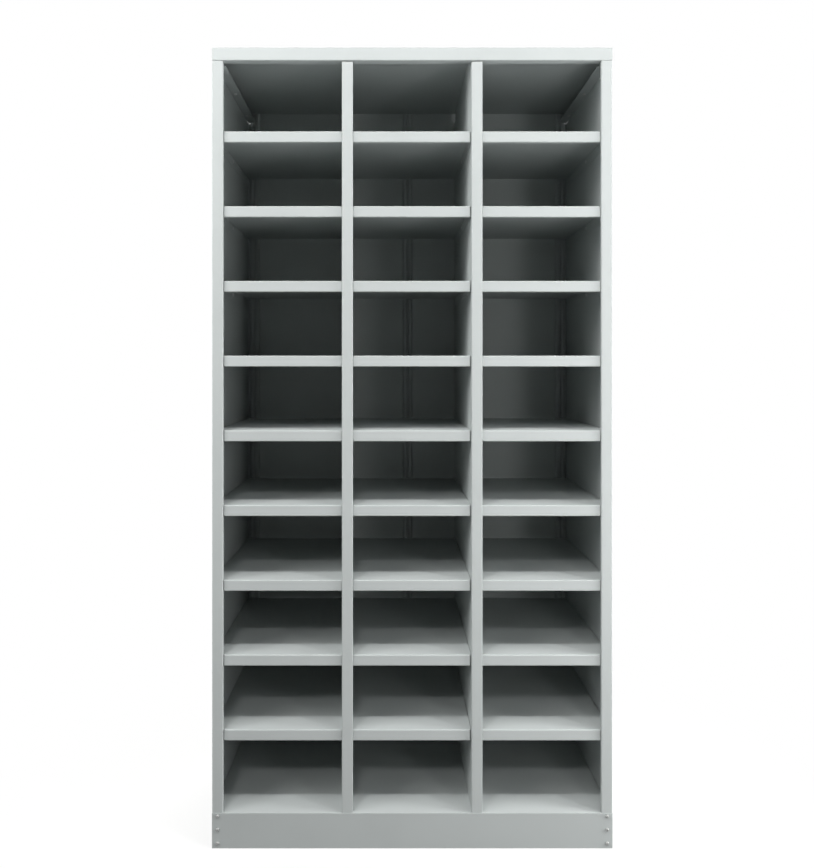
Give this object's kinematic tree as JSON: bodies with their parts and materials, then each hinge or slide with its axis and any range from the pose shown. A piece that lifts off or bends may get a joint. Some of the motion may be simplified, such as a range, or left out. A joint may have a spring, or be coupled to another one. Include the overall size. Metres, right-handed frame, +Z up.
{
  "type": "pigeonhole mail sorter",
  "caption": "Free-standing open-fronted pigeonhole cabinet in folded, powder-coated sheet steel, with columns of fixed shelves for sorting mail, a plinth below and a tray cap on top.",
  "frame": {"origin": "on the floor, under the middle of the cabinet's plan", "axes": "+Z up, the open front faces -Y, +X to the right of someone facing the open front"},
  "size_m": [0.915, 0.457, 1.83],
  "materials": {
    "powder_coat": "satin light grey powder coat with a fine orange peel, on cold-rolled steel sheet",
    "screw_zinc": "bright zinc plate on steel pan-head screws"
  },
  "bodies": {
    "root": {"left_side_panel": "powder_coat", "right_side_panel": "powder_coat", "left_divider": "powder_coat", "right_divider": "powder_coat", "top_cap": "powder_coat", "base_and_plinth": "powder_coat", "shelf_left_1": "powder_coat", "shelf_left_2": "powder_coat", "shelf_left_3": "powder_coat", "shelf_left_4": "powder_coat", "shelf_left_5": "powder_coat", "shelf_left_6": "powder_coat", "shelf_left_7": "powder_coat", "shelf_left_8": "powder_coat", "shelf_left_9": "powder_coat", "shelf_centre_1": "powder_coat", "shelf_centre_2": "powder_coat", "shelf_centre_3": "powder_coat", "shelf_centre_4": "powder_coat", "shelf_centre_5": "powder_coat", "shelf_centre_6": "powder_coat", "shelf_centre_7": "powder_coat", "shelf_centre_8": "powder_coat", "shelf_centre_9": "powder_coat", "shelf_right_1": "powder_coat", "shelf_right_2": "powder_coat", "shelf_right_3": "powder_coat", "shelf_right_4": "powder_coat", "shelf_right_5": "powder_coat", "shelf_right_6": "powder_coat", "shelf_right_7": "powder_coat", "shelf_right_8": "powder_coat", "shelf_right_9": "powder_coat", "left_back_sheet": "powder_coat", "right_back_sheet": "powder_coat", "left_back_strip": "powder_coat", "centre_back_strip": "powder_coat", "right_back_strip": "powder_coat", "plinth_screw_left_lower": "screw_zinc", "plinth_screw_left_middle": "screw_zinc", "plinth_screw_left_upper": "screw_zinc", "plinth_screw_right_lower": "screw_zinc", "plinth_screw_right_middle": "screw_zinc", "plinth_screw_right_upper": "screw_zinc"}
  },
  "joints": []
}
